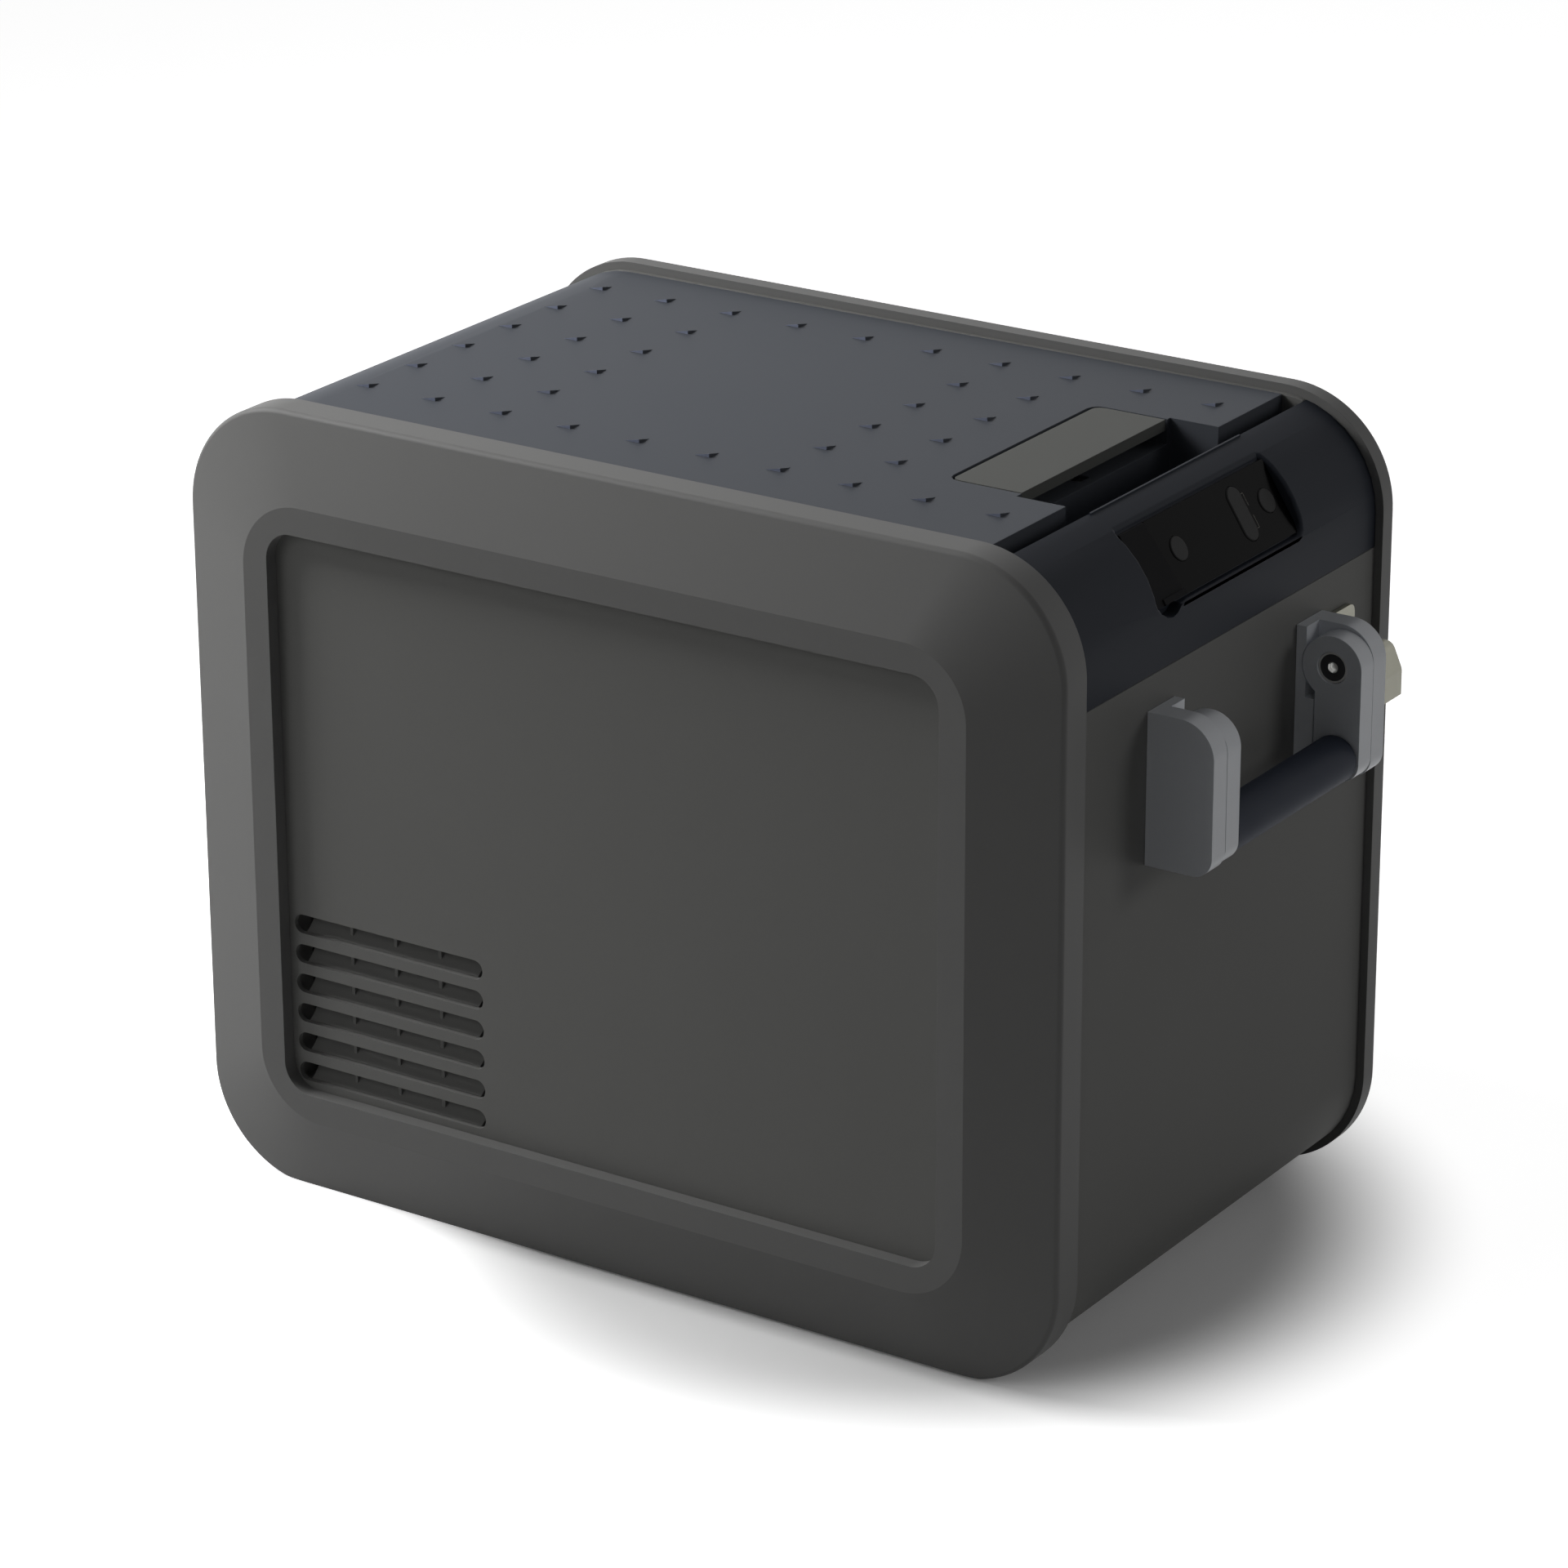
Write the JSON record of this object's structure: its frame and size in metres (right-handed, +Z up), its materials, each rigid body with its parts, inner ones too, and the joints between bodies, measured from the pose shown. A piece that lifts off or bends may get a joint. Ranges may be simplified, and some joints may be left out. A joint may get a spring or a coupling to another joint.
{
  "type": "compressor cooler fridge",
  "caption": "Portable compressor cooler with chamfered bezel frames, louvred vents, hinged lid with a latch paddle, tilted control panel and folding end handles.",
  "frame": {"origin": "on the floor under the middle of the cabinet", "axes": "+X along the long front towards the control end, +Y from the vented front to the rear, +Z up"},
  "size_m": [0.5928, 0.3574, 0.4326],
  "materials": {
    "frame_plastic": "fine grained grey moulding",
    "panel_plastic": "fine grained dark grey",
    "end_plastic": "fine grained charcoal",
    "cap_plastic": "satin blue black",
    "lid_plastic": "fine grained slate grey",
    "paddle_plastic": "fine grained grey",
    "black_plastic": "matte black",
    "panel_glass": "gloss black acrylic",
    "button_plastic": "satin black",
    "flap_rubber": "matte black",
    "handle_plastic": "satin charcoal",
    "grip_rubber": "matte blue black",
    "bolt_steel": "dark turned steel",
    "steel": "zinc plated",
    "opener_steel": "warm satin metal",
    "foot_rubber": "matte black",
    "liner_plastic": "pale grey liner",
    "foam": "foamed insulation",
    "gasket_rubber": "soft grey seal",
    "copper": "drawn copper",
    "aluminium": "mill finish",
    "enamel": "black enamel",
    "board": "green circuit board",
    "lamp_lens": "milky lens"
  },
  "bodies": {
    "cabinet": {"front_frame": "frame_plastic", "rear_frame": "frame_plastic", "front_panel": "panel_plastic", "rear_panel": "panel_plastic", "front_louvre": "panel_plastic", "rear_louvre": "panel_plastic", "left_end_panel": "end_plastic", "right_end_panel": "end_plastic", "base_plate": "end_plastic", "front_left_foot": "foot_rubber", "front_right_foot": "foot_rubber", "rear_left_foot": "foot_rubber", "rear_right_foot": "foot_rubber", "rim_frame": "end_plastic", "tub_liner": "liner_plastic", "insulation": "foam", "evaporator_coil": "aluminium", "interior_lamp": "lamp_lens", "latch_keeper": "steel", "front_hinge_pin": "steel", "rear_hinge_pin": "steel", "control_cap": "cap_plastic", "control_glass": "panel_glass", "display_board": "board", "port_block": "black_plastic", "compressor_tray": "steel", "compressor": "enamel", "condenser": "aluminium", "fan_frame": "black_plastic", "controller_box": "aluminium", "filter_dryer": "copper", "power_inlets": "black_plastic", "bottle_opener": "opener_steel", "right_front_bracket": "handle_plastic", "right_rear_bracket": "handle_plastic", "right_front_bolt": "bolt_steel", "right_rear_bolt": "bolt_steel", "left_front_bracket": "handle_plastic", "left_rear_bracket": "handle_plastic", "left_front_bolt": "bolt_steel", "left_rear_bolt": "bolt_steel"},
    "lid": {"lid_shell": "lid_plastic", "lid_liner": "liner_plastic", "lid_insulation": "foam", "lid_gasket": "gasket_rubber", "latch_hook_pin": "steel", "latch_spring": "steel"},
    "latch_paddle": {"latch_paddle": "paddle_plastic"},
    "latch_hook": {"latch_hook": "steel"},
    "power_button": {"power_button": "button_plastic"},
    "mode_button": {"mode_button": "button_plastic"},
    "temp_rocker": {"temp_rocker": "button_plastic"},
    "port_flap": {"port_flap": "flap_rubber"},
    "fan": {"fan_rotor": "black_plastic"},
    "right_handle": {"right_front_arm": "handle_plastic", "right_rear_arm": "handle_plastic", "right_grip": "grip_rubber"},
    "left_handle": {"left_front_arm": "handle_plastic", "left_rear_arm": "handle_plastic", "left_grip": "grip_rubber"}
  },
  "joints": [
    {"name": "lid_hinge", "type": "hinge", "parent": "cabinet", "child": "lid", "pos_m": [-0.257, 0.00385, 0.394], "axis": [0, -1, 0], "range_deg": [0, 95]},
    {"name": "paddle_lift", "type": "hinge", "parent": "lid", "child": "latch_paddle", "pos_m": [0.1376, 0.0085, 0.4257], "axis": [0, -1, 0], "range_deg": [0, 22], "stiffness_Nm_per_rad": 0.05},
    {"name": "hook_swing", "type": "hinge", "parent": "lid", "child": "latch_hook", "pos_m": [0.167, 0.00815, 0.407], "axis": [0, -1, 0], "range_deg": [0, 12]},
    {"name": "power_press", "type": "slide", "parent": "cabinet", "child": "power_button", "axis": [-0.8415, 0, -0.5402], "range_m": [0, 0.0008], "stiffness_N_per_m": 400},
    {"name": "mode_press", "type": "slide", "parent": "cabinet", "child": "mode_button", "axis": [-0.8415, 0, -0.5402], "range_m": [0, 0.0008], "stiffness_N_per_m": 400},
    {"name": "temp_tilt", "type": "hinge", "parent": "cabinet", "child": "temp_rocker", "pos_m": [0.24264, 0.0375, 0.40137], "axis": [0, 1, 0], "range_deg": [-3, 3], "stiffness_Nm_per_rad": 0.05},
    {"name": "flap_hinge", "type": "hinge", "parent": "cabinet", "child": "port_flap", "pos_m": [0.2331, -0.053, 0.41715], "axis": [0, -1, 0], "range_deg": [0, 90]},
    {"name": "fan_spin", "type": "hinge", "parent": "cabinet", "child": "fan", "pos_m": [-0.1383, -0.145, 0.1126], "axis": [0, 1, 0], "continuous": true},
    {"name": "right_handle_fold", "type": "hinge", "parent": "cabinet", "child": "right_handle", "pos_m": [0.2797, 0.0083, 0.3178], "axis": [0, -1, 0], "range_deg": [0, 90]},
    {"name": "left_handle_fold", "type": "hinge", "parent": "cabinet", "child": "left_handle", "pos_m": [-0.2797, 0.0083, 0.3178], "axis": [0, 1, 0], "range_deg": [0, 90]}
  ],
  "couplings": [
    {"joint": "hook_swing", "follows": "paddle_lift", "ratio": 0.545}
  ]
}
